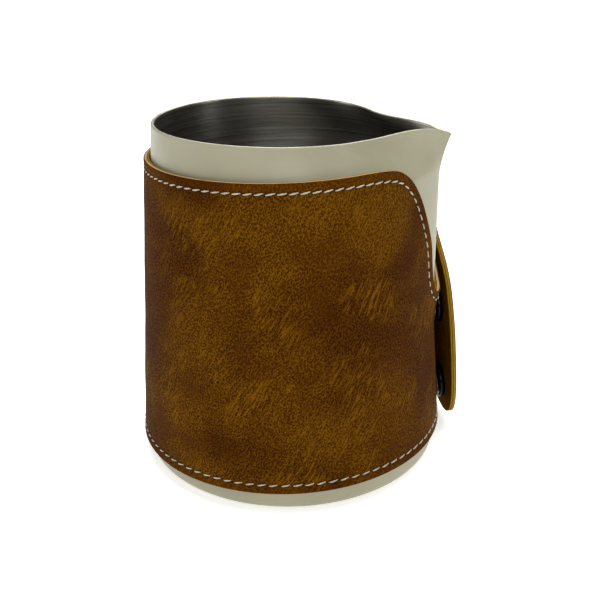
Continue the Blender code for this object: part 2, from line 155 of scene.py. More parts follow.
# Mesh steps of the jug
LIP_STEPS = 44
BACK_STEPS = 91
CORNER_STEPS = 8

# Snap fasteners
SNAP_DOME = 1.75 * MM
CAP_LIP = 0.42 * MM
SHANK_FOOT = 2.45 * MM
SHANK_RADIUS = 1.1 * MM
# Profiles in millimetres: (radius, height above the tongue's face)
SOCKET_WELL = (
    (1.5, 2.6), (1.5, 2.45), (2.9, 2.4), (2.9, 1.15), (2.6, 1.0), (3.4, 1.0), (3.9, 1.25), (4.6, 1.25),
    (5.0, 1.0),
)
STUD_PROFILE = (
    (1.4, 0.3), (5.4, 0.27), (5.4, 0.6), (2.4, 0.74), (1.85, 0.9), (1.75, 1.5), (2.1, 1.85), (1.9, 2.15),
    (1.45, 2.1),
)

FLOOR_REACH = 6.0
FLOOR_GAP = 0.2 * MM

COLOUR = {"size": 3, "min": 0.0, "max": 1.0, "subtype": "COLOR"}


class WrapSettings(bpy.types.PropertyGroup):
    stitch_pitch: bpy.props.FloatProperty(
        name="Stitch pitch", description="Distance from one stitch to the next",
        default=3.1 * MM, min=1.5 * MM, max=8 * MM, unit="LENGTH", precision=4,
    )
    stitch_length: bpy.props.FloatProperty(
        name="Stitch length", description="Length of thread that shows in one stitch",
        default=2.45 * MM, min=1 * MM, max=6 * MM, unit="LENGTH", precision=4,
    )
    thread_radius: bpy.props.FloatProperty(
        name="Thread radius", description="Half the thickness of the sewing thread",
        default=0.185 * MM, min=0.1 * MM, max=1 * MM, unit="LENGTH", precision=5,
    )
    ripple: bpy.props.FloatProperty(
        name="Leather ripple", description="How far the leather's face rises and falls",
        default=0.22 * MM, min=0.0, max=0.5 * MM, unit="LENGTH", precision=5,
    )
    leather_dark: bpy.props.FloatVectorProperty(
        name="Dark leather", description="Colour of the leather where wax has gathered",
        default=(0.05, 0.012, 0.0003), **COLOUR,
    )
    leather_mid: bpy.props.FloatVectorProperty(
        name="Leather", description="Main colour of the leather",
        default=(0.078, 0.0252, 0.0005), **COLOUR,
    )
    leather_gold: bpy.props.FloatVectorProperty(
        name="Rubbed leather", description="Colour of the leather where it is pulled or rubbed pale",
        default=(0.15, 0.064, 0.0014), **COLOUR,
    )
    lining_colour: bpy.props.FloatVectorProperty(
        name="Lining", description="Colour of the suede lining",
        default=(0.27, 0.145, 0.006), **COLOUR,
    )
    # Painted shade: the flap's inner face gets a darker copy of the suede lining's colour. It stands in for
    # the shadow between the flap and the sleeve, not for handling.
    flap_lining_shade_colour: bpy.props.FloatVectorProperty(
        name="Flap lining", description="Colour of the flap's inner face, darkened by handling",
        default=(0.15, 0.062, 0.003), **COLOUR,
    )
    edge_colour: bpy.props.FloatVectorProperty(
        name="Cut edge", description="Colour of the raw cut edge of the leather",
        default=(0.5, 0.34, 0.17), **COLOUR,
    )
    gold_edge_colour: bpy.props.FloatVectorProperty(
        name="Dyed edge", description="Colour of the flap's dyed edge and of the lining's edge",
        default=(0.27, 0.155, 0.012), **COLOUR,
    )
    thread_colour: bpy.props.FloatVectorProperty(
        name="Thread", description="Colour of the waxed sewing thread",
        default=(0.56, 0.53, 0.42), **COLOUR,
    )


class JugSettings(bpy.types.PropertyGroup):
    paint_colour: bpy.props.FloatVectorProperty(
        name="Paint", description="Colour of the cream paint on the outside",
        default=(0.318, 0.302, 0.208), **COLOUR,
    )
    steel_colour: bpy.props.FloatVectorProperty(
        name="Steel", description="Colour of the bare brushed steel inside",
        default=(0.37, 0.358, 0.318), **COLOUR,
    )
    black_colour: bpy.props.FloatVectorProperty(
        name="Snap enamel", description="Colour of the enamel on the snap fasteners",
        default=(0.002, 0.002, 0.002), **COLOUR,
    )
    metal_colour: bpy.props.FloatVectorProperty(
        name="Snap metal", description="Colour of the blackened brass parts of the snap fasteners",
        default=(0.09, 0.075, 0.055), **COLOUR,
    )


class StageSettings(bpy.types.PropertyGroup):
    floor_colour: bpy.props.FloatVectorProperty(
        name="Floor", description="Colour of the studio floor",
        default=(0.93, 0.93, 0.925), **COLOUR,
    )
    sky_strength: bpy.props.FloatProperty(
        name="Room light", description="Brightness of the room around the stage",
        default=0.2, min=0.0, max=5.0,
    )
    key_power: bpy.props.FloatProperty(
        name="Key light", description="Power of the main soft light",
        default=10.0, min=0.0, unit="POWER",
    )
    top_power: bpy.props.FloatProperty(
        name="Top light", description="Power of the soft light overhead",
        default=22.0, min=0.0, unit="POWER",
    )
    back_power: bpy.props.FloatProperty(
        name="Back light", description="Power of the soft light over the floor behind",
        default=60.0, min=0.0, unit="POWER",
    )
    side_power: bpy.props.FloatProperty(
        name="Side lights", description="Power of each soft light at the sides",
        default=2.3, min=0.0, unit="POWER",
    )


# The jug's and the wrap's shape


def smoothstep(value):
    held = min(max(value, 0.0), 1.0)
    return held * held * (3.0 - 2.0 * held)


def read_outline(points, where):
    """The height of an outline given as (place, millimetres), read between its points."""
    places, heights = zip(*points)
    return float(np.interp(where, places, heights)) * MM


def polar(radius, azimuth, z):
    return Vector((radius * math.cos(azimuth), radius * math.sin(azimuth), z))


def cone_radius(z):
    return RIM_RADIUS + WALL_SLOPE * (HEIGHT - z)


def keel_radius(z):
    """The ridge under the spout: upright in the middle, flared at the tip, faded out at its foot."""
    tip_height = HEIGHT + TIP.z
    flare = max(0.0, (z - KEEL_FLARE) / (tip_height - KEEL_FLARE))
    full = KEEL_RADIUS + (TIP.x - KEEL_RADIUS) * flare**KEEL_CURVE
    foot = smoothstep((z - KEEL_FOOT) / (KEEL_FULL - KEEL_FOOT))
    return cone_radius(z) + (full - cone_radius(z)) * foot


def section_radius(azimuth, z):
    """A round section with the ridge's two flanks running off it as tangents."""
    cone = cone_radius(z)
    keel = keel_radius(z)
    if keel <= cone:
        return cone
    flank = math.acos(cone / keel)
    turn = abs(math.remainder(azimuth, math.tau))
    eased = math.hypot(turn, NOSE_ROUNDING) - NOSE_ROUNDING
    return cone / math.cos(max(0.0, flank - eased))


def lip_point(share):
    """A point of the lip, from the crease (0) to the tip (1)."""
    rest = 1.0 - share
    return (
        CREASE * rest**3
        + LIP_SHOULDER * (3 * rest**2 * share)
        + LIP_NOSE * (3 * rest * share**2)
        + TIP * share**3
    )


def rim_at(azimuth):
    """The rim's radius and height at an azimuth."""
    turn = abs(math.remainder(azimuth, math.tau))
    crease_turn = math.atan2(CREASE.y, CREASE.x)
    if turn >= crease_turn:
        pull = max(0.0, (crease_turn + RIM_PULL - turn) / RIM_PULL) ** 2
        crease_radius = math.hypot(CREASE.x, CREASE.y)
        return RIM_RADIUS + (crease_radius - RIM_RADIUS) * pull, HEIGHT + CREASE.z * pull
    low, high = 0.0, 1.0
    for _ in range(30):
        middle = (low + high) / 2
        point = lip_point(middle)
        if math.atan2(point.y, point.x) > turn:
            low = middle
        else:
            high = middle
    point = lip_point(low)
    return math.hypot(point.x, point.y), HEIGHT + point.z


def jug_radius(azimuth, z, rim):
    """The jug's outer radius: its section, drawn in near the rim to meet the lip."""
    rim_radius, rim_height = rim
    drawn = smoothstep((z - rim_height + LIP_DEPTH) / LIP_DEPTH)
    return section_radius(azimuth, z) + drawn * (rim_radius - section_radius(azimuth, rim_height))


def on_wrap(girth, height, lift):
    azimuth = girth / GIRTH_RADIUS
    return polar(section_radius(azimuth, height) + lift, azimuth, height)


def flap_plan(lift, z):
    """The flap's course at a height: fold, two handles, start of its flat part, free edge."""
    fold = math.radians(FOLD_AZIMUTH)
    snap = math.radians(SNAP_AZIMUTH)
    start = polar(cone_radius(z) + lift, fold, z)
    along_start = Vector((math.sin(fold), -math.cos(fold), 0.0))
    along_end = Vector((math.sin(snap), -math.cos(snap), 0.0))
    seat = polar(cone_radius(z) + LEATHER_HIGH + SNAP_STACK + lift - LINING_LOW, snap, z)
    flat = seat - along_end * FLAP_FLAT
    end = seat + along_end * FLAP_REACH
    return start, start + along_start * FLAP_HANDLE, flat - along_end * FLAP_HANDLE, flat, end


def flap_length():
    start, _, _, flat, end = flap_plan(LINING_LOW, HEIGHT / 2)
    return (end - flat).length + (flat - start).length


FOLD_GIRTH = math.radians(FOLD_AZIMUTH) * GIRTH_RADIUS
JOIN_GIRTH = math.radians(JOIN_AZIMUTH) * GIRTH_RADIUS
FREE_GIRTH = FOLD_GIRTH - flap_length()


def on_flap(girth, height, lift):
    """A point of the flap, or of the wrap beyond the flap's fold."""
    if girth >= FOLD_GIRTH:
        return on_wrap(girth, height, lift)
    start, first, second, flat, end = flap_plan(lift, height)
    straight = FLAP_FLAT + FLAP_REACH
    back = girth - FREE_GIRTH
    if back <= straight:
        return end + (flat - end) * (back / straight)
    share = (back - straight) / (flap_length() - straight)
    rest = 1.0 - share
    return flat * rest**3 + second * (3 * rest**2 * share) + first * (3 * rest * share**2) + start * share**3


def wrap_heights(degrees):
    """The wrap's lower and upper edge at an azimuth given in degrees from the fold onwards."""
    past_notch = degrees - 360.0 - NOTCH_AZIMUTH
    top = read_outline(NEAR_EDGE, -past_notch) if past_notch < 0 else read_outline(TONGUE_EDGE, past_notch)
    if degrees < 180.0:
        fold_top = read_outline(FLAP_TOP, flap_length() / MM)
        top = fold_top + (WRAP_TOP - fold_top) * smoothstep((degrees - FOLD_AZIMUTH) / FOLD_RAMP)
    bottom = WRAP_BOTTOM
    if past_notch > 0:
        from_end = math.radians(TONGUE_END - past_notch) * KEEL_RADIUS / MM
        bottom = read_outline(BOTTOM_CORNER, from_end)
    shift = WRAP_TILT * math.cos(math.radians(degrees))
    return bottom + shift, top + shift


# Curves in the flat of the leather, as arrays of (girth, height)


def resampled(curve, spacing):
    """The same curve with evenly spaced points, and its two ends kept."""
    curve = np.asarray(curve, float)
    travelled = np.concatenate([[0.0], np.cumsum(np.linalg.norm(np.diff(curve, axis=0), axis=1))])
    places = np.linspace(0.0, travelled[-1], max(2, round(travelled[-1] / spacing) + 1))
    return np.stack([np.interp(places, travelled, curve[:, axis]) for axis in (0, 1)], axis=1)


def eased(curve, rounds=14):
    """The curve with its corners worn smooth, and its two ends kept."""
    curve = curve.copy()
    for _ in range(rounds):
        curve[1:-1] = curve[1:-1] * 0.5 + (curve[:-2] + curve[2:]) * 0.25
    return curve


def offset(curve, inset):
    """The curve moved to its left, which is inwards for an edge that runs anticlockwise."""
    run = np.gradient(curve, axis=0)
    run /= np.linalg.norm(run, axis=1)[:, None]
    return curve + inset * np.stack([-run[:, 1], run[:, 0]], axis=1)


def distance_to(curve, points):
    """Each point's distance to a curve."""
    start = curve[:-1]
    run = np.diff(curve, axis=0)
    found = []
    for some in np.array_split(points, max(1, len(points) // 800)):
        away = some[:, None, :] - start[None]
        share = np.clip((away * run).sum(2) / (run**2).sum(1), 0.0, 1.0)
        found.append(np.linalg.norm(away - share[..., None] * run, axis=2).min(1))
    return np.concatenate(found)


def inside(outline, points):
    """Whether each point lies within a closed outline."""
    ends = np.roll(outline, -1, axis=0)
    found = []
    for some in np.array_split(points, max(1, len(points) // 800)):
        x, y = some[:, :1], some[:, 1:]
        spans = (outline[None, :, 1] > y) != (ends[None, :, 1] > y)
        rise = np.where(ends[:, 1] == outline[:, 1], 1.0, ends[:, 1] - outline[:, 1])
        crossing = outline[:, 0] + (y - outline[:, 1]) * (ends[:, 0] - outline[:, 0]) / rise
        found.append((spans & (x < crossing)).sum(1) % 2 == 1)
    return np.concatenate(found)


def wrap_edge():
    """The sleeve's free edge: along the bottom, up the tongue's end, back through the notch and the top."""
    end = 360.0 + NOTCH_AZIMUTH + TONGUE_END
    degrees = np.arange(JOIN_AZIMUTH, end, 0.5).tolist() + [end]
    bottom = [(math.radians(d) * GIRTH_RADIUS, wrap_heights(d)[0]) for d in degrees]
    top = [(math.radians(d) * GIRTH_RADIUS, wrap_heights(d)[1]) for d in reversed(degrees)]
    return eased(resampled(bottom + top, OUTLINE_STEP))


def flap_edge():
    """The flap's free edge: from the join along the top, down the flap's end, back along the bottom."""
    length = flap_length() / MM
    backs = np.arange(0.0, length, 0.4)
    past = np.arange(FOLD_AZIMUTH, JOIN_AZIMUTH + 0.01, 0.5)

    def shift(back):
        fold_share = smoothstep((back - length + TILT_FADE) / TILT_FADE)
        return WRAP_TILT * (1.0 + (math.cos(math.radians(FOLD_AZIMUTH)) - 1.0) * fold_share)

    def along_flap(outline):
        return [(FREE_GIRTH + back * MM, read_outline(outline, back) + shift(back)) for back in backs]

    def past_fold(edge):
        return [(math.radians(d) * GIRTH_RADIUS, wrap_heights(d)[edge]) for d in past]

    top = past_fold(1)[::-1] + along_flap(FLAP_TOP)[::-1]
    bottom = along_flap(FLAP_BOTTOM) + past_fold(0)
    return eased(resampled(top + bottom, OUTLINE_STEP))


# Mesh helpers


def add_object(name, points, faces, looks, face_looks=None, smooth_angle=40.0):
    mesh = bpy.data.meshes.new(name)
    mesh.from_pydata([tuple(point) for point in points], [], faces)
    mesh.validate()
    mesh.shade_smooth()
    mesh.set_sharp_from_angle(angle=math.radians(smooth_angle))
    for look in looks:
        mesh.materials.append(look)
    if face_looks is not None:
        mesh.polygons.foreach_set("material_index", face_looks)
    obj = bpy.data.objects.new(name, mesh)
    bpy.context.scene.collection.objects.link(obj)
    return obj


def set_attribute(obj, name, kind, values):
    field = "vector" if kind == "FLOAT_VECTOR" else "value"
    attribute = obj.data.attributes.new(name, kind, "POINT")
    attribute.data.foreach_set(field, np.asarray(values, np.float32).ravel())


def round_off(inwards, radius):
    """How far a rounded edge falls away, at each distance in from it."""
    short = np.clip(radius - inwards, 0.0, radius)
    return radius - np.sqrt(radius**2 - short**2)


def cut_out(edge, depths):
    """Points and triangles that fill a free edge and its straight join, with rows of points at the depths."""
    inner_reach = depths[-1] + PANEL_STEP * 0.6
    loops = []
    for depth in depths[1:]:
        loop = offset(edge, depth)[1:-1]
        loops.append(loop[distance_to(edge, loop) > depth * 0.97])
    last = edge[-1]
    run = edge[0][1] - last[1]
    reach = abs(run)
    along = depths[1:] + list(np.arange(inner_reach, reach / 2, PANEL_STEP))
    along += [reach - place for place in reversed(along)]
    join = [(last[0], last[1] + math.copysign(place, run)) for place in along]
    outline = np.concatenate([edge, join])
    low_corner, high_corner = edge.min(0), edge.max(0)
    rows = int((high_corner[1] - low_corner[1]) / PANEL_STEP) + 1
    columns = int((high_corner[0] - low_corner[0]) / PANEL_STEP) + 1
    lattice = np.array([
        (low_corner[0] + (column + 0.5 * (row % 2)) * PANEL_STEP, low_corner[1] + (row + 0.5) * PANEL_STEP)
        for row in range(rows)
        for column in range(columns)
    ])
    clear = distance_to(edge, lattice) > inner_reach
    clear &= np.abs(lattice[:, 0] - last[0]) > PANEL_STEP * 0.5
    clear &= inside(outline, lattice)
    flat = np.concatenate([outline, *loops, lattice[clear]])
    border = [list(range(len(outline)))]
    made = delaunay_2d_cdt([Vector(point) for point in flat], [], border, 1, 1e-7, False)
    flat = np.array([tuple(point) for point in made[0]])
    triangles = np.array([face for face in made[2] if len(face) == 3])
    triangles = triangles[inside(outline, flat[triangles].mean(axis=1))]
    used = np.unique(triangles)
    renumber = np.full(len(flat), -1)
    renumber[used] = np.arange(len(used))
    flat, triangles = flat[used], renumber[triangles]
    corners = flat[triangles]
    turn = np.cross(corners[:, 1] - corners[:, 0], corners[:, 2] - corners[:, 0])
    triangles[turn < 0] = triangles[turn < 0][:, ::-1]
    return flat, triangles.tolist()


def panel(name, edge, place, low, high, looks, seam_inset=None, ripple=0.0):
    """A sheet with rounded cut edges. `edge` is its free edge, and a straight join closes it.

    The outer layer is the one that has a seam: it is rounded on its outer face and grooved along the seam.
    The lining is rounded on its inner face.
    """
    outer_layer = seam_inset is not None
    depths = [0.0, 0.08 * MM, 0.18 * MM, EDGE_ROUND, 0.9 * MM]
    if outer_layer:
        depths += [seam_inset + GROOVE_REACH * share for share in (-0.6, -0.3, 0.0, 0.3, 0.6, 1.0)]
    flat, triangles = cut_out(edge, depths)
    inwards = distance_to(edge, flat)
    drop = round_off(inwards, EDGE_ROUND if outer_layer else INNER_ROUND)
    rise = round_off(inwards, INNER_ROUND if outer_layer else EDGE_ROUND * 0.6)
    if outer_layer:
        groove = np.clip(1.0 - np.abs(inwards - seam_inset) / GROOVE_REACH, 0.0, 1.0)
        drop = drop + GROOVE_DEPTH * groove**2 * (3.0 - 2.0 * groove)
    upper, lower = [], []
    broad, narrow = RIPPLE_WAVES
    for (girth, height), fall, lifted, depth in zip(flat, drop, rise, inwards):
        wave = noise.noise(Vector((girth, height, 0.0)) * broad)
        wave += 0.5 * noise.noise(Vector((girth, height, 1.0)) * narrow)
        ease = smoothstep(depth / RIPPLE_EASE) * smoothstep(abs(girth - JOIN_GIRTH) / JOIN_EASE)
        upper.append(place(girth, height, high - fall + ripple * (wave - 0.6) * ease))
        lower.append(place(girth, height, low + lifted))
    count = len(flat)
    faces = [tuple(face) for face in triangles]
    faces += [tuple(corner + count for corner in reversed(face)) for face in triangles]
    face_looks = [0] * len(faces)
    directed = {(face[i], face[(i + 1) % 3]) for face in triangles for i in range(3)}
    for a, b in sorted(directed):
        if (b, a) not in directed:
            faces.append((b, a, a + count, b + count))
            face_looks.append(1 if max(inwards[a], inwards[b]) < 1e-6 else 0)
    obj = add_object(name, upper + lower, faces, looks, face_looks)
    levels = np.concatenate([np.full(count, high), np.full(count, low)])
    set_attribute(obj, "skin", "FLOAT_VECTOR", np.column_stack([np.tile(flat, (2, 1)), levels]))
    set_attribute(obj, "edge_depth", "FLOAT", np.tile(inwards, 2))
    return obj


def turned(name, profile, snap, looks, steps=64):
    """A profile of (radius, height) turned about the snap's axis. A closed profile makes a ring."""
    on_axis = profile[0][0] == 0.0
    points = []
    faces = []
    rows = profile[1:-1] if on_axis else profile
    for step in range(steps):
        azimuth = math.tau * step / steps
        points += [snap @ polar(radius, azimuth, height) for radius, height in rows]
    count = len(rows)
    for step in range(steps):
        here, there = step * count, (step + 1) % steps * count
        for row in range(count - 1 if on_axis else count):
            after = (row + 1) % count
            faces.append((here + row, there + row, there + after, here + after))
    if on_axis:
        for end, row, flip in ((profile[0], 0, True), (profile[-1], count - 1, False)):
            points.append(snap @ Vector((0.0, 0.0, end[1])))
            for step in range(steps):
                there = (step + 1) % steps * count
                face = (len(points) - 1, step * count + row, there + row)
                faces.append(face[::-1] if flip else face)
    return add_object(name, points, faces, looks)


def rounded(corners, radius=0.22 * MM, cuts=4):
    """A profile with its inner corners rounded off."""
    made = [corners[0]]
    for before, corner, after in zip(corners, corners[1:], corners[2:]):
        corner = Vector(corner)
        legs = [Vector(before) - corner, Vector(after) - corner]
        reach = min(radius, legs[0].length * 0.45, legs[1].length * 0.45)
        start, end = (corner + leg.normalized() * reach for leg in legs)
        for cut in range(cuts + 1):
            share = cut / cuts
            made.append(tuple(start * (1 - share) ** 2 + corner * (2 * share * (1 - share)) + end * share**2))
    made.append(corners[-1])
    return made


# Finishes


# The Mix node's colour sockets, which share their names with its other sockets
COLOUR_A, COLOUR_B, COLOUR_RESULT = 6, 7, 2


class Finish:
    """A material's node tree, with short calls for the nodes that these finishes use."""

    def __init__(self, name):
        self.made = bpy.data.materials.new(name)
        self.made.use_nodes = True
        self.nodes = self.made.node_tree.nodes
        self.links = self.made.node_tree.links
        self.shader = self.nodes["Principled BSDF"]

    def put(self, socket, value):
        if isinstance(value, bpy.types.NodeSocket):
            self.links.new(value, socket)
        else:
            socket.default_value = value

    def set(self, **values):
        for name, value in values.items():
            self.put(self.shader.inputs[name.replace("_", " ")], value)

    def node(self, kind, inputs, output=0, **settings):
        made = self.nodes.new(kind)
        for name, value in settings.items():
            setattr(made, name, value)
        for name, value in inputs.items():
            self.put(made.inputs[name], value)
        return made.outputs[output]

    def places(self):
        return self.node("ShaderNodeTexCoord", {}, output="Object")

    def attribute(self, name, output="Vector"):
        return self.node("ShaderNodeAttribute", {}, output=output, attribute_name=name)

    def stretch(self, vector, scale):
        return self.node("ShaderNodeMapping", {"Vector": vector, "Scale": scale})

    def noise(self, vector, scale, detail=4.0, rough=0.55, twist=0.0):
        values = {"Vector": vector, "Scale": scale, "Detail": detail, "Roughness": rough, "Distortion": twist}
        return self.node("ShaderNodeTexNoise", values)

    def cells(self, vector, scale):
        values = {"Vector": vector, "Scale": scale}
        return self.node("ShaderNodeTexVoronoi", values, output="Distance", feature="F1")

    def span(self, value, low, high, to_low=0.0, to_high=1.0):
        values = {"Value": value, "From Min": low, "From Max": high, "To Min": to_low, "To Max": to_high}
        return self.node("ShaderNodeMapRange", values, interpolation_type="SMOOTHSTEP")

    def sum(self, operation, first, second):
        return self.node("ShaderNodeMath", {0: first, 1: second}, operation=operation)

    def vector(self, operation, first, second):
        return self.node("ShaderNodeVectorMath", {0: first, 1: second}, operation=operation)

    def blend(self, share, first, second):
        values = {"Factor": share, COLOUR_A: first, COLOUR_B: second}
        return self.node("ShaderNodeMix", values, output=COLOUR_RESULT, data_type="RGBA")

    def bump(self, height, strength, distance, under=None):
        values = {"Height": height, "Strength": strength, "Distance": distance}
        if under is not None:
            values["Normal"] = under
        return self.node("ShaderNodeBump", values, output="Normal")


def solid(colour, gain=1.0):
    return (*(min(1.0, channel * gain) for channel in colour), 1.0)


def paint_finish(made, colour):
    """Cream enamel: a faint orange peel, slight clouding, and fine specks."""
    at = made.places()
    clouds = made.span(made.noise(at, 38.0), 0.3, 0.7)
    specks = made.span(made.cells(at, 900.0), 0.04, 0.11, 1.0, 0.0)
    sparse = made.span(made.noise(at, 260.0, 2.0), 0.62, 0.7)
    base = made.blend(clouds, solid(colour, 0.93), solid(colour, 1.05))
    spotted = made.blend(made.sum("MULTIPLY", specks, sparse), base, solid(colour, 0.5))
    rough = made.span(made.noise(at, 120.0), 0.3, 0.7, 0.3, 0.42)
    peel = made.bump(made.noise(at, 1500.0, 2.0), 0.18, 0.05 * MM)
    wavy = made.bump(made.noise(at, 180.0, 2.0), 0.2, 0.12 * MM, peel)
    made.set(Base_Color=spotted, Roughness=rough, Normal=wavy, Specular_IOR_Level=0.3)


def steel_finish(made, colour):
    """Bare steel brushed round the wall, with fine scratches."""
    at = made.places()
    rings = made.stretch(at, (18.0, 18.0, 1.0))
    brushed = made.noise(made.stretch(at, (60.0, 60.0, 9000.0)), 1.0, 3.0, 0.6)
    wide = made.noise(made.stretch(rings, (0.6, 0.6, 1900.0)), 1.0, 3.0, 0.65)
    tone = made.blend(made.span(wide, 0.3, 0.7), solid(colour, 0.6), solid(colour, 1.2))
    rough = made.span(brushed, 0.25, 0.75, 0.25, 0.4)
    grain = made.bump(brushed, 0.35, 0.03 * MM)
    bands = made.bump(wide, 0.25, 0.12 * MM, grain)
    round_wall = made.node("ShaderNodeTangent", {}, direction_type="RADIAL", axis="Z")
    made.set(Base_Color=tone, Metallic=1.0, Roughness=rough, Normal=bands, Tangent=round_wall)
    made.set(Anisotropic=0.8, Anisotropic_Rotation=0.25)


def rim_highlight_finish(made, colour):
    """The rim's rolled edge: part metallic where the paint is rubbed through, with the cream paint colour
    drawn 1.25 to 1.6 times brighter as a painted highlight along the rim.
    """
    at = made.places()
    worn = made.span(made.noise(at, 320.0), 0.35, 0.65)
    # Painted highlight: two brighter copies of the cream paint, mixed by noise.
    tone = made.blend(worn, solid(colour, 1.25), solid(colour, 1.6))
    rough = made.span(made.noise(at, 700.0), 0.3, 0.7, 0.22, 0.4)
    grain = made.bump(made.noise(at, 1400.0), 0.2, 0.05 * MM)
    made.set(Base_Color=tone, Metallic=0.6, Roughness=rough, Normal=grain)


def leather_finish(made, dark, mid, gold):
    """Waxed pull-up leather: a grain that leans one way, pale creases, clouded patches and darker margins."""
    skin = made.attribute("skin")
    depth = made.attribute("edge_depth", "Fac")
    wander = made.node("ShaderNodeTexNoise", {"Vector": skin, "Scale": 90.0, "Detail": 2.0}, output="Color")
    drift = made.vector("SUBTRACT", wander, (0.5, 0.5, 0.5))
    warped = made.vector("ADD", skin, made.vector("MULTIPLY", drift, (1.6 * MM, 1.6 * MM, 0.0)))
    leaning = made.node("ShaderNodeMapping", {"Vector": warped, "Rotation": (0.0, 0.0, math.radians(-58))})
    grain = made.noise(made.stretch(leaning, (0.62, 1.0, 1.0)), 2500.0, 1.0, 0.6, 0.3)
    pores = made.noise(made.stretch(leaning, (0.8, 1.0, 1.0)), 4200.0, 1.0, 0.6)
    streaks = made.noise(made.stretch(leaning, (0.1, 1.0, 1.0)), 2300.0, 1.0, 0.6, 0.6)
    broad = made.noise(skin, 30.0, 3.0, 0.55, 0.4)
    patches = made.noise(leaning, 70.0, 3.0, 0.5, 0.3)
    crest = made.span(grain, 0.4, 0.63)
    low = made.blend(made.span(broad, 0.34, 0.66), solid(dark, 0.45), solid(dark, 1.0))
    high = made.blend(made.span(broad, 0.34, 0.66), solid(mid, 1.1), solid(gold, 1.05))
    tone = made.blend(crest, low, high)
    creased = made.sum("MULTIPLY", made.span(streaks, 0.51, 0.61), made.span(patches, 0.45, 0.64))
    tone = made.blend(made.sum("MULTIPLY", creased, 0.7), tone, solid(gold, 1.25))
    tone = made.blend(made.span(patches, 0.48, 0.32, 0.0, 0.4), tone, solid(dark))
    tone = made.blend(made.span(pores, 0.54, 0.68, 0.0, 0.75), tone, solid(dark, 0.4))
    margin = made.span(depth, 2.3 * MM, 3.2 * MM, 0.35, 0.0)
    tone = made.blend(margin, tone, solid(dark, 1.2))
    rough = made.span(grain, 0.3, 0.7, 0.8, 0.62)
    pebbled = made.bump(made.sum("SUBTRACT", grain, made.sum("MULTIPLY", pores, 0.4)), 0.8, 0.35 * MM)
    folded = made.bump(creased, 0.6, 0.2 * MM, pebbled)
    lumps = made.bump(patches, 0.3, 0.4 * MM, folded)
    made.set(Base_Color=tone, Roughness=rough, Normal=lumps, Specular_IOR_Level=0.06, IOR=1.25)


def suede_finish(made, colour):
    """Suede lining: short nap brushed in patches."""
    skin = made.attribute("skin")
    nap = made.noise(made.stretch(skin, (300.0, 180.0, 240.0)), 1.0, 5.0, 0.65, 1.2)
    fibres = made.noise(made.stretch(skin, (2600.0, 1500.0, 2000.0)), 1.0, 3.0, 0.6)
    tone = made.blend(made.span(nap, 0.3, 0.7), solid(colour, 0.68), solid(colour, 1.2))
    tone = made.blend(made.span(fibres, 0.4, 0.65, 0.0, 0.4), tone, solid(colour, 0.5))
    pile = made.bump(fibres, 0.6, 0.08 * MM)
    brushed = made.bump(nap, 0.3, 0.2 * MM, pile)
    made.set(Base_Color=tone, Roughness=0.92, Normal=brushed, Specular_IOR_Level=0.04, IOR=1.2)


def edge_finish(made, colour):
    """A cut edge: layered and fibrous."""
    skin = made.attribute("skin")
    layers = made.noise(made.stretch(skin, (500.0, 500.0, 6000.0)), 1.0, 3.0, 0.6)
    patch = made.noise(skin, 240.0, 3.0)
    tone = made.blend(made.span(layers, 0.3, 0.7), solid(colour, 0.7), solid(colour, 1.08))
    tone = made.blend(made.span(patch, 0.5, 0.7, 0.0, 0.5), tone, solid(colour, 0.6))
    made.set(Base_Color=tone, Roughness=0.85, Normal=made.bump(layers, 0.5, 0.1 * MM), Specular_IOR_Level=0.1)


def thread_finish(made, colour):
    """Waxed linen thread: plies that twist along it."""
    ply = made.attribute("ply")
    at = made.places()
    twist = made.node(
        "ShaderNodeTexWave",
        {"Vector": ply, "Scale": 1.0, "Distortion": 1.2, "Detail": 2.0, "Detail Scale": 2.0},
        output="Fac",
        bands_direction="DIAGONAL",
    )
    soil = made.noise(at, 420.0, 3.0)
    tone = made.blend(made.span(twist, 0.1, 0.8), solid(colour, 0.62), solid(colour, 1.1))
    tone = made.blend(made.span(soil, 0.52, 0.75, 0.0, 0.45), tone, solid((0.42, 0.33, 0.19)))
    made.set(Base_Color=tone, Roughness=0.68, Normal=made.bump(twist, 0.6, 0.08 * MM), Sheen_Weight=0.1)


def hole_shade_finish(made, colour):
    """Painted shade: near-black mottled colour for the needle holes. It stands in for the shadow inside them,
    as the holes are only shallow dips.
    """
    hole_shade_mottle = made.noise(made.places(), 1500.0)
    made.set(Base_Color=made.blend(hole_shade_mottle, solid(colour, 0.1), solid(colour, 0.45)), Roughness=0.8)
    made.set(Normal=made.bump(hole_shade_mottle, 0.5, 0.1 * MM))


def enamel_finish(made, colour):
    """Black stove enamel with handling marks."""
    at = made.places()
    marks = made.noise(at, 260.0, 4.0, 0.6)
    rough = made.span(marks, 0.35, 0.7, 0.08, 0.2)
    tone = made.blend(made.span(marks, 0.55, 0.75), solid(colour), solid(colour, 2.0))
    peel = made.bump(made.noise(at, 2200.0, 2.0), 0.08, 0.03 * MM)
    made.set(Base_Color=tone, Roughness=rough, Normal=peel, Specular_IOR_Level=0.3, IOR=1.3)


def brass_finish(made, colour):
    """Blackened brass, rubbed brighter on its high spots."""
    at = made.places()
    rubbed = made.span(made.noise(at, 520.0, 4.0), 0.45, 0.7)
    turned_marks = made.noise(at, 2600.0, 2.0)
    tone = made.blend(rubbed, solid(colour), solid((0.42, 0.3, 0.13)))
    rough = made.span(turned_marks, 0.3, 0.7, 0.24, 0.46)
    made.set(Base_Color=tone, Metallic=1.0, Roughness=rough, Normal=made.bump(turned_marks, 0.25, 0.04 * MM))


def floor_finish(made, colour):
    at = made.places()
    grain = made.noise(at, 60.0, 3.0)
    tone = made.blend(made.span(grain, 0.3, 0.7), solid(colour, 0.985), solid(colour))
    made.set(Base_Color=tone, Roughness=0.85, Specular_IOR_Level=0.2, Normal=made.bump(grain, 0.05, 0.2 * MM))
    made.set(Emission_Color=tone, Emission_Strength=0.5)


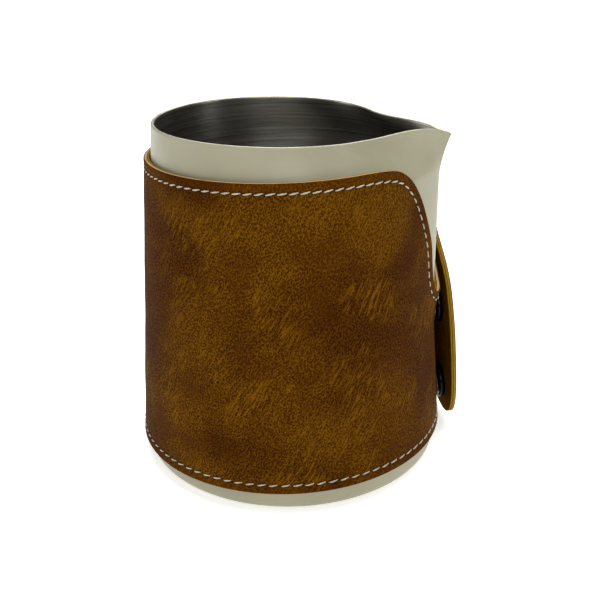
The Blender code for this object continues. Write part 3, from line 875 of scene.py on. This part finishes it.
FINISHES = {
    "cream_paint": (paint_finish, "pitcher_jug", "paint_colour"),
    "rim_edge": (rim_highlight_finish, "pitcher_jug", "paint_colour"),
    "brushed_steel": (steel_finish, "pitcher_jug", "steel_colour"),
    "snap_enamel": (enamel_finish, "pitcher_jug", "black_colour"),
    "snap_brass": (brass_finish, "pitcher_jug", "metal_colour"),
    "pull_up_leather": (leather_finish, "pitcher_wrap", "leather_dark", "leather_mid", "leather_gold"),
    "tan_suede": (suede_finish, "pitcher_wrap", "lining_colour"),
    # the flap's lining: the suede in a darker colour, as painted shade
    "brown_suede": (suede_finish, "pitcher_wrap", "flap_lining_shade_colour"),
    "pale_cut_edge": (edge_finish, "pitcher_wrap", "edge_colour"),
    "dyed_edge": (edge_finish, "pitcher_wrap", "gold_edge_colour"),
    "waxed_thread": (thread_finish, "pitcher_wrap", "thread_colour"),
    "needle_hole": (hole_shade_finish, "pitcher_wrap", "leather_dark"),
    "studio_floor": (floor_finish, "pitcher_stage", "floor_colour"),
}


def finish(name):
    """The finish of this name, made from the settings the first time it is asked for."""
    ready = bpy.data.materials.get(name)
    if ready:
        return ready
    make, owner, *settings = FINISHES[name]
    group = getattr(bpy.context.scene, owner)
    made = Finish(name)
    make(made, *(getattr(group, setting) for setting in settings))
    return made.made


# Pieces


def jug_azimuths():
    """Azimuths round the jug, from the tip of the lip."""
    half = []
    for step in range(LIP_STEPS):
        point = lip_point(1.0 - step / LIP_STEPS)
        half.append(math.atan2(point.y, point.x))
    half += np.linspace(math.atan2(CREASE.y, CREASE.x), math.pi, BACK_STEPS).tolist()
    return half + [-turn for turn in reversed(half[1:-1])]


def jug_walls(azimuths):
    """Rings of points up the outer face, over the rolled rim, and up the inner face."""
    lip_start = HEIGHT - LIP_DEPTH
    levels = np.linspace(5 * MM, 36 * MM, 8).tolist()
    levels += np.linspace(38 * MM, lip_start, 28, endpoint=False).tolist()
    levels += np.linspace(lip_start, HEIGHT, 21).tolist()
    round_turns = [math.radians(15 * turn) for turn in range(1, 12)]
    step = math.radians(1)
    crown = WALL / 2
    outer, inner, over = [], [], [[] for _ in round_turns]
    for azimuth in azimuths:
        rim = rim_at(azimuth)
        beside = [(turn, rim_at(azimuth + turn)) for turn in (-step, step)]

        def inset_at(z):
            here = jug_radius(azimuth, z, rim)
            change = max(abs(jug_radius(azimuth + turn, z, near) - here) for turn, near in beside)
            return WALL * math.hypot(1.0, change / (step * here))

        shares = [level * (rim[1] - crown) / HEIGHT for level in levels]
        radii = [jug_radius(azimuth, z, rim) for z in shares]
        insets = [inset_at(z) for z in shares]
        outer.append([polar(r, azimuth, z) for r, z in zip(radii, shares)])
        inner.append([polar(r - inset, azimuth, z) for r, inset, z in zip(radii, insets, shares)])
        for ring, turn in zip(over, round_turns):
            reach = radii[-1] - insets[-1] * (1.0 - math.cos(turn)) / 2
            ring.append(polar(reach, azimuth, rim[1] - crown * (1.0 - math.sin(turn))))
    return list(zip(*outer)), over, list(zip(*inner))


def base_rings(azimuths, radius, z, inset):
    """Rings of points from the middle of the base out to the wall, round its corner."""
    rings = [[polar(radius * share, azimuth, z) for azimuth in azimuths] for share in (0.15, 0.5, 0.8)]
    rise = cone_radius(0.0) - BASE_RADIUS
    out = cone_radius(z + rise) - inset
    for part in range(CORNER_STEPS + 1):
        turn = math.radians(90) * part / CORNER_STEPS
        reach = radius + (out - radius) * math.sin(turn)
        height = z + rise * (1.0 - math.cos(turn))
        rings.append([polar(reach, azimuth, height) for azimuth in azimuths])
    return rings


class PITCHER_OT_jug(bpy.types.Operator):
    """Add the steel jug: painted outside, brushed inside, with its rolled rim"""

    bl_idname = "pitcher.add_jug"
    bl_label = "Jug"

    def execute(self, context):
        azimuths = jug_azimuths()
        outer, over, inner = jug_walls(azimuths)
        rings = base_rings(azimuths, BASE_RADIUS, 0.0, 0.0) + outer
        painted = len(rings) + 3
        rings += over
        bare = len(rings) - 2
        rings += inner[::-1] + base_rings(azimuths, BASE_RADIUS - WALL, FLOOR, WALL)[::-1]

        count = len(azimuths)
        points = [point for ring in rings for point in ring]
        faces = [tuple(reversed(range(count)))]
        looks = [0]
        for row in range(len(rings) - 1):
            for spot in range(count):
                after = (spot + 1) % count
                here, above = row * count, (row + 1) * count
                faces.append((here + spot, here + after, above + after, above + spot))
                looks.append(0 if row < painted else 1 if row < bare else 2)
        faces.append(tuple(range(len(points) - count, len(points))))
        looks.append(2)
        finishes = [finish("cream_paint"), finish("rim_edge"), finish("brushed_steel")]
        shell = add_object("pitcher_shell", points, faces, finishes, looks, 50.0)
        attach(shell, "pitcher")
        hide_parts("pitcher_body")
        return {"FINISHED"}


class PITCHER_OT_sleeve(bpy.types.Operator):
    """Add the sleeve: the leather wrap with its notch and tongue, and the suede lining under it"""

    bl_idname = "pitcher.add_sleeve"
    bl_label = "Sleeve"

    def execute(self, context):
        ripple = context.scene.pitcher_wrap.ripple
        edge = wrap_edge()
        looks = [finish("tan_suede"), finish("dyed_edge")]
        lining = panel("sleeve_suede", edge, on_wrap, LINING_LOW, LINING_HIGH, looks)
        looks = [finish("pull_up_leather"), finish("pale_cut_edge")]
        leather = panel(
            "sleeve_leather", edge, on_wrap, LEATHER_LOW, LEATHER_HIGH, looks, SEAM_INSET, ripple
        )
        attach(lining, "pitcher")
        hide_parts("sleeve_lining")
        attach(leather, "pitcher")
        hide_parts("sleeve_outer_leather")
        return {"FINISHED"}


def blend_over_fold(obj):
    """Bakes the piece's placement into its mesh."""
    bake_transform(obj)


class PITCHER_OT_flap(bpy.types.Operator):
    """Add the closing flap: its leather and its suede lining, which bend at the fold"""

    bl_idname = "pitcher.add_flap"
    bl_label = "Flap"

    def execute(self, context):
        ripple = context.scene.pitcher_wrap.ripple
        edge = flap_edge()
        # The flap's lining takes the darker suede, painted shade for the shadow under the flap.
        looks = [finish("brown_suede"), finish("dyed_edge")]
        lining = panel("flap_suede", edge, on_flap, LINING_LOW, LINING_HIGH, looks)
        looks = [finish("pull_up_leather"), finish("dyed_edge")]
        leather = panel(
            "flap_leather", edge, on_flap, LEATHER_LOW, LEATHER_HIGH, looks, FLAP_SEAM_INSET, ripple
        )
        blend_over_fold(lining)
        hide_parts("flap_lining")
        blend_over_fold(leather)
        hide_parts("flap_outer_leather")
        return {"FINISHED"}


def stitch_frame(start, end, place):
    """A stitch's middle on the leather's face, and its directions along, across and out."""
    middle = (start + end) / 2
    run = (end - start) / np.linalg.norm(end - start) * MM
    centre = place(middle[0], middle[1], LEATHER_HIGH)
    out = (place(middle[0], middle[1], LEATHER_HIGH + MM) - centre).normalized()
    along = (place(middle[0] + run[0], middle[1] + run[1], LEATHER_HIGH) - centre).normalized()
    along = (along - out * along.dot(out)).normalized()
    return centre, along, out.cross(along), out


def stitched(name, path, place, settings, draw):
    """Single stitches along a path, each with a needle hole at its two ends: a shallow dip painted near-black
    as the hole's shade.
    """
    radius = settings.thread_radius
    spots = resampled(path, settings.stitch_pitch)
    points, faces, face_looks, plies = [], [], [], []
    for start, end in zip(spots, spots[1:]):
        centre, along, side, out = stitch_frame(start, end, place)
        slant = STITCH_SLANT + draw.uniform(-SLANT_SPREAD, SLANT_SPREAD)
        half = settings.stitch_length / 2 * draw.uniform(0.95, 1.04)
        first = len(points)
        for ring in range(STITCH_RINGS):
            share = 2.0 * ring / (STITCH_RINGS - 1) - 1.0
            arch = 1.0 - share**4
            thick = radius * (0.62 + 0.38 * (1.0 - share * share))
            for spoke in range(STITCH_SIDES):
                turn = math.tau * spoke / STITCH_SIDES
                ply = 1.0 + 0.13 * math.cos(2.0 * turn - 5.0 * share)
                across = thick * ply * 1.12 * math.cos(turn) + slant * share * half
                rise = radius * (1.25 * arch - 1.0) - GROOVE_DEPTH * 0.7 + thick * ply * 0.85 * math.sin(turn)
                points.append(centre + along * (share * half) + side * across + out * rise)
                plies.append((share * half / MM * 3.2, turn / math.tau * 4.0, 0.0))
        for ring in range(STITCH_RINGS - 1):
            for spoke in range(STITCH_SIDES):
                here, above = first + ring * STITCH_SIDES, first + (ring + 1) * STITCH_SIDES
                after = (spoke + 1) % STITCH_SIDES
                faces.append((here + spoke, here + after, above + after, above + spoke))
        last = first + (STITCH_RINGS - 1) * STITCH_SIDES
        faces.append(tuple(reversed(range(first, first + STITCH_SIDES))))
        faces.append(tuple(range(last, last + STITCH_SIDES)))
        face_looks += [0] * (len(faces) - len(face_looks))
        # Needle holes: shallow dips whose dark colour is painted shade.
        for way in (-1.0, 1.0):
            hub = centre + along * (way * (half + radius * 0.55)) + side * (slant * way * half)
            rim = len(points)
            for spoke in range(HOLE_SIDES):
                turn = math.tau * spoke / HOLE_SIDES
                reach = along * math.cos(turn) * 1.05 + side * math.sin(turn) * 0.95
                points.append(hub + reach * radius * 1.15 + out * (-GROOVE_DEPTH + 0.07 * MM))
                points.append(hub + reach * radius * 0.5 + out * (-GROOVE_DEPTH - HOLE_SINK))
                here, there = rim + 2 * spoke, rim + 2 * ((spoke + 1) % HOLE_SIDES)
                faces.append((here, there, there + 1, here + 1))
            faces.append(tuple(rim + 1 + 2 * spoke for spoke in range(HOLE_SIDES)))
        face_looks += [1] * (len(faces) - len(face_looks))
        plies += [(0.0, 0.0, 0.0)] * (len(points) - len(plies))
    obj = add_object(name, points, faces, [finish("waxed_thread"), finish("needle_hole")], face_looks)
    set_attribute(obj, "ply", "FLOAT_VECTOR", plies)
    return obj


class PITCHER_OT_stitching(bpy.types.Operator):
    """Add the stitching along the sleeve's and the flap's edges"""

    bl_idname = "pitcher.add_stitching"
    bl_label = "Stitching"

    def execute(self, context):
        settings = context.scene.pitcher_wrap
        draw = random.Random(7)
        seam = offset(wrap_edge(), SEAM_INSET)
        middle = 20 * MM
        tongue_end = math.radians(360.0 + NOTCH_AZIMUTH + TONGUE_END) * GIRTH_RADIUS - 3 * MM
        stud = math.radians(360.0 + STUD_CLEAR) * GIRTH_RADIUS
        upper = seam[(seam[:, 1] > middle) & (seam[:, 0] < tongue_end)]
        lower = seam[(seam[:, 1] < middle) & (seam[:, 0] < stud)]
        for name, path, node in (
            ("sleeve_top_stitches", upper, "sleeve_top_seam_thread"),
            ("sleeve_bottom_stitches", lower, "sleeve_bottom_seam_thread"),
        ):
            stitches = stitched(name, path, on_wrap, settings, draw)
            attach(stitches, "pitcher")
            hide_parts(node)
        seam = offset(flap_edge(), FLAP_SEAM_INSET)
        outside = stitched("flap_stitches", seam, on_flap, settings, draw)
        blend_over_fold(outside)
        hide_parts("flap_seam_thread")
        return {"FINISHED"}


def snap_frame(height):
    """A frame on the tongue's face at the snaps' azimuth, with Z pointing straight out of the leather."""
    azimuth = math.radians(SNAP_AZIMUTH)
    out = Vector((math.cos(azimuth), math.sin(azimuth), WALL_SLOPE)).normalized()
    across = Vector((math.sin(azimuth), -math.cos(azimuth), 0.0))
    foot = polar(cone_radius(height) + LEATHER_HIGH, azimuth, height)
    return Matrix.Translation(foot) @ Matrix((across, out.cross(across), out)).transposed().to_4x4()


class PITCHER_OT_snaps(bpy.types.Operator):
    """Add the two snap fasteners: cap, socket, stud, and the finish of the ring spring and the post"""

    bl_idname = "pitcher.add_snaps"
    bl_label = "Snap fasteners"

    def execute(self, context):
        black, brass = finish("snap_enamel"), finish("snap_brass")
        face = SNAP_STACK + LEATHER_HIGH - LINING_LOW + CLEARANCE
        dome = []
        for step in range(13):
            turn = math.radians(90) * (1 - step / 12)
            height = face + SNAP_DOME - 0.8 * MM * (1 - math.cos(turn))
            dome.append(((SNAP_RADIUS - 0.7 * MM) * math.sin(turn), height))
        shank = [(0.0, SHANK_FOOT), (SHANK_RADIUS, SHANK_FOOT), (SHANK_RADIUS, face), (SNAP_RADIUS, face)]
        cap = rounded(shank, 0.1 * MM)
        for step in range(9):
            turn = math.pi * step / 8
            reach = SNAP_RADIUS - CAP_LIP + CAP_LIP * math.sin(turn)
            cap.append((reach, face + CAP_LIP * (1 - math.cos(turn)) + 0.02 * MM))
        cap += dome[:-1] + [(0.0, face + SNAP_DOME)]
        seat = SNAP_STACK - CLEARANCE
        well = [(radius * MM, height * MM) for radius, height in SOCKET_WELL]
        brim = [(SNAP_RADIUS - 0.2 * MM, 1.1 * MM), (SNAP_RADIUS, 1.5 * MM), (SNAP_RADIUS, seat)]
        socket = rounded(well + brim + [(1.6 * MM, seat)], 0.2 * MM)
        stud = rounded([(radius * MM, height * MM) for radius, height in STUD_PROFILE], 0.15 * MM)
        for side, height in SNAP_HEIGHTS.items():
            snap = snap_frame(height)
            for part, profile, look, body, slot in (
                ("cap", cap, black, "flap", "black_enamel"),
                ("socket", socket, black, "flap", "black_enamel"),
                ("stud", stud, brass, "pitcher", "blackened_brass"),
            ):
                piece = turned(f"{side}_{part}", profile, snap, [look])
                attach(piece, body)
                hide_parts(f"{side}_snap_{part}")
            for part in ("ring_spring", "post"):
                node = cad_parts[f"{side}_snap_{part}"]
                node.data.materials.clear()
                node.data.materials.append(brass)
        return {"FINISHED"}


def soft_light(name, power, size, place, target):
    light = bpy.data.lights.new(name, "AREA")
    light.energy = power
    light.shape = "RECTANGLE"
    light.size, light.size_y = size
    obj = bpy.data.objects.new(name, light)
    bpy.context.scene.collection.objects.link(obj)
    obj.location = place
    obj.rotation_euler = (Vector(target) - Vector(place)).to_track_quat("-Z", "Y").to_euler()


class PITCHER_OT_stage(bpy.types.Operator):
    """Add the studio: pale floor, soft lights and the camera"""

    bl_idname = "pitcher.add_stage"
    bl_label = "Stage"

    def execute(self, context):
        stage = context.scene.pitcher_stage
        sides = ((-1, -1), (1, -1), (1, 1), (-1, 1))
        corners = [(x * FLOOR_REACH, y * FLOOR_REACH, 0.0) for x, y in sides]
        floor = add_object("studio_floor", corners, [(0, 1, 2, 3)], [finish("studio_floor")])
        floor.location.z = -FLOOR_GAP

        world = bpy.data.worlds.new("studio_room")
        world.use_nodes = True
        sky = world.node_tree.nodes["Background"].inputs
        sky["Color"].default_value = (1.0, 1.0, 1.0, 1.0)
        sky["Strength"].default_value = stage.sky_strength
        context.scene.world = world
        context.scene.view_settings.view_transform = "Standard"

        middle = (0.0, 0.0, 0.05)
        soft_light("key_light", stage.key_power, (1.5, 0.7), (0.3, -1.35, 0.85), middle)
        soft_light("left_light", stage.side_power, (0.4, 0.9), (-1.1, -0.3, 0.5), middle)
        soft_light("right_light", stage.side_power, (0.4, 0.9), (1.45, -0.2, 0.6), middle)
        soft_light("top_light", stage.top_power, (1.3, 1.3), (0.1, 0.2, 1.6), middle)
        soft_light("back_light", stage.back_power, (3.0, 2.0), (0.0, 2.8, 2.0), (0.0, 2.3, 0.0))

        camera_data = bpy.data.cameras.new("studio_camera")
        camera = bpy.data.objects.new("studio_camera", camera_data)
        context.scene.collection.objects.link(camera)
        heading, tilt, roll = math.radians(8.0), math.radians(22.9), math.radians(-0.86)
        forward = Vector(
            (-math.sin(heading) * math.cos(tilt), math.cos(heading) * math.cos(tilt), -math.sin(tilt))
        )
        right = forward.cross(Vector((0.0, 0.0, 1.0))).normalized()
        up = right.cross(forward)
        turned_to = Matrix((right, up, -forward)).transposed().to_4x4()
        place = Matrix.Translation((37.8 * MM, -244.2 * MM, 148.7 * MM))
        camera.matrix_world = place @ turned_to @ Matrix.Rotation(roll, 4, "Z")
        camera_data.sensor_width = 36.0
        camera_data.lens = 52.82
        camera_data.shift_x = -0.001
        camera_data.shift_y = 0.0008
        camera_data.clip_start = 0.01
        camera_data.clip_end = 50.0
        context.scene.camera = camera
        return {"FINISHED"}


class PITCHER_PT_panel(bpy.types.Panel):
    bl_label = "Milk Frothing Pitcher"
    bl_idname = "PITCHER_PT_panel"
    bl_space_type = "VIEW_3D"
    bl_region_type = "UI"
    bl_category = "Pitcher"

    def draw(self, context):
        for owner in (context.scene.pitcher_jug, context.scene.pitcher_wrap, context.scene.pitcher_stage):
            box = self.layout.box()
            for name in owner.__annotations__:
                box.prop(owner, name)
        for operator in OPERATORS:
            self.layout.operator(operator.bl_idname)


SETTINGS = {"pitcher_jug": JugSettings, "pitcher_wrap": WrapSettings, "pitcher_stage": StageSettings}
OPERATORS = (
    PITCHER_OT_jug,
    PITCHER_OT_sleeve,
    PITCHER_OT_flap,
    PITCHER_OT_stitching,
    PITCHER_OT_snaps,
    PITCHER_OT_stage,
)
CLASSES = (*SETTINGS.values(), *OPERATORS, PITCHER_PT_panel)


def register():
    for cls in CLASSES:
        bpy.utils.register_class(cls)
    for name, group in SETTINGS.items():
        setattr(bpy.types.Scene, name, bpy.props.PointerProperty(type=group))


def unregister():
    for name in SETTINGS:
        delattr(bpy.types.Scene, name)
    for cls in reversed(CLASSES):
        bpy.utils.unregister_class(cls)


def main():
    register()
    bpy.ops.pitcher.add_jug()
    bpy.ops.pitcher.add_sleeve()
    bpy.ops.pitcher.add_flap()
    bpy.ops.pitcher.add_stitching()
    bpy.ops.pitcher.add_snaps()
    bpy.ops.pitcher.add_stage()


if __name__ == "__main__":
    main()
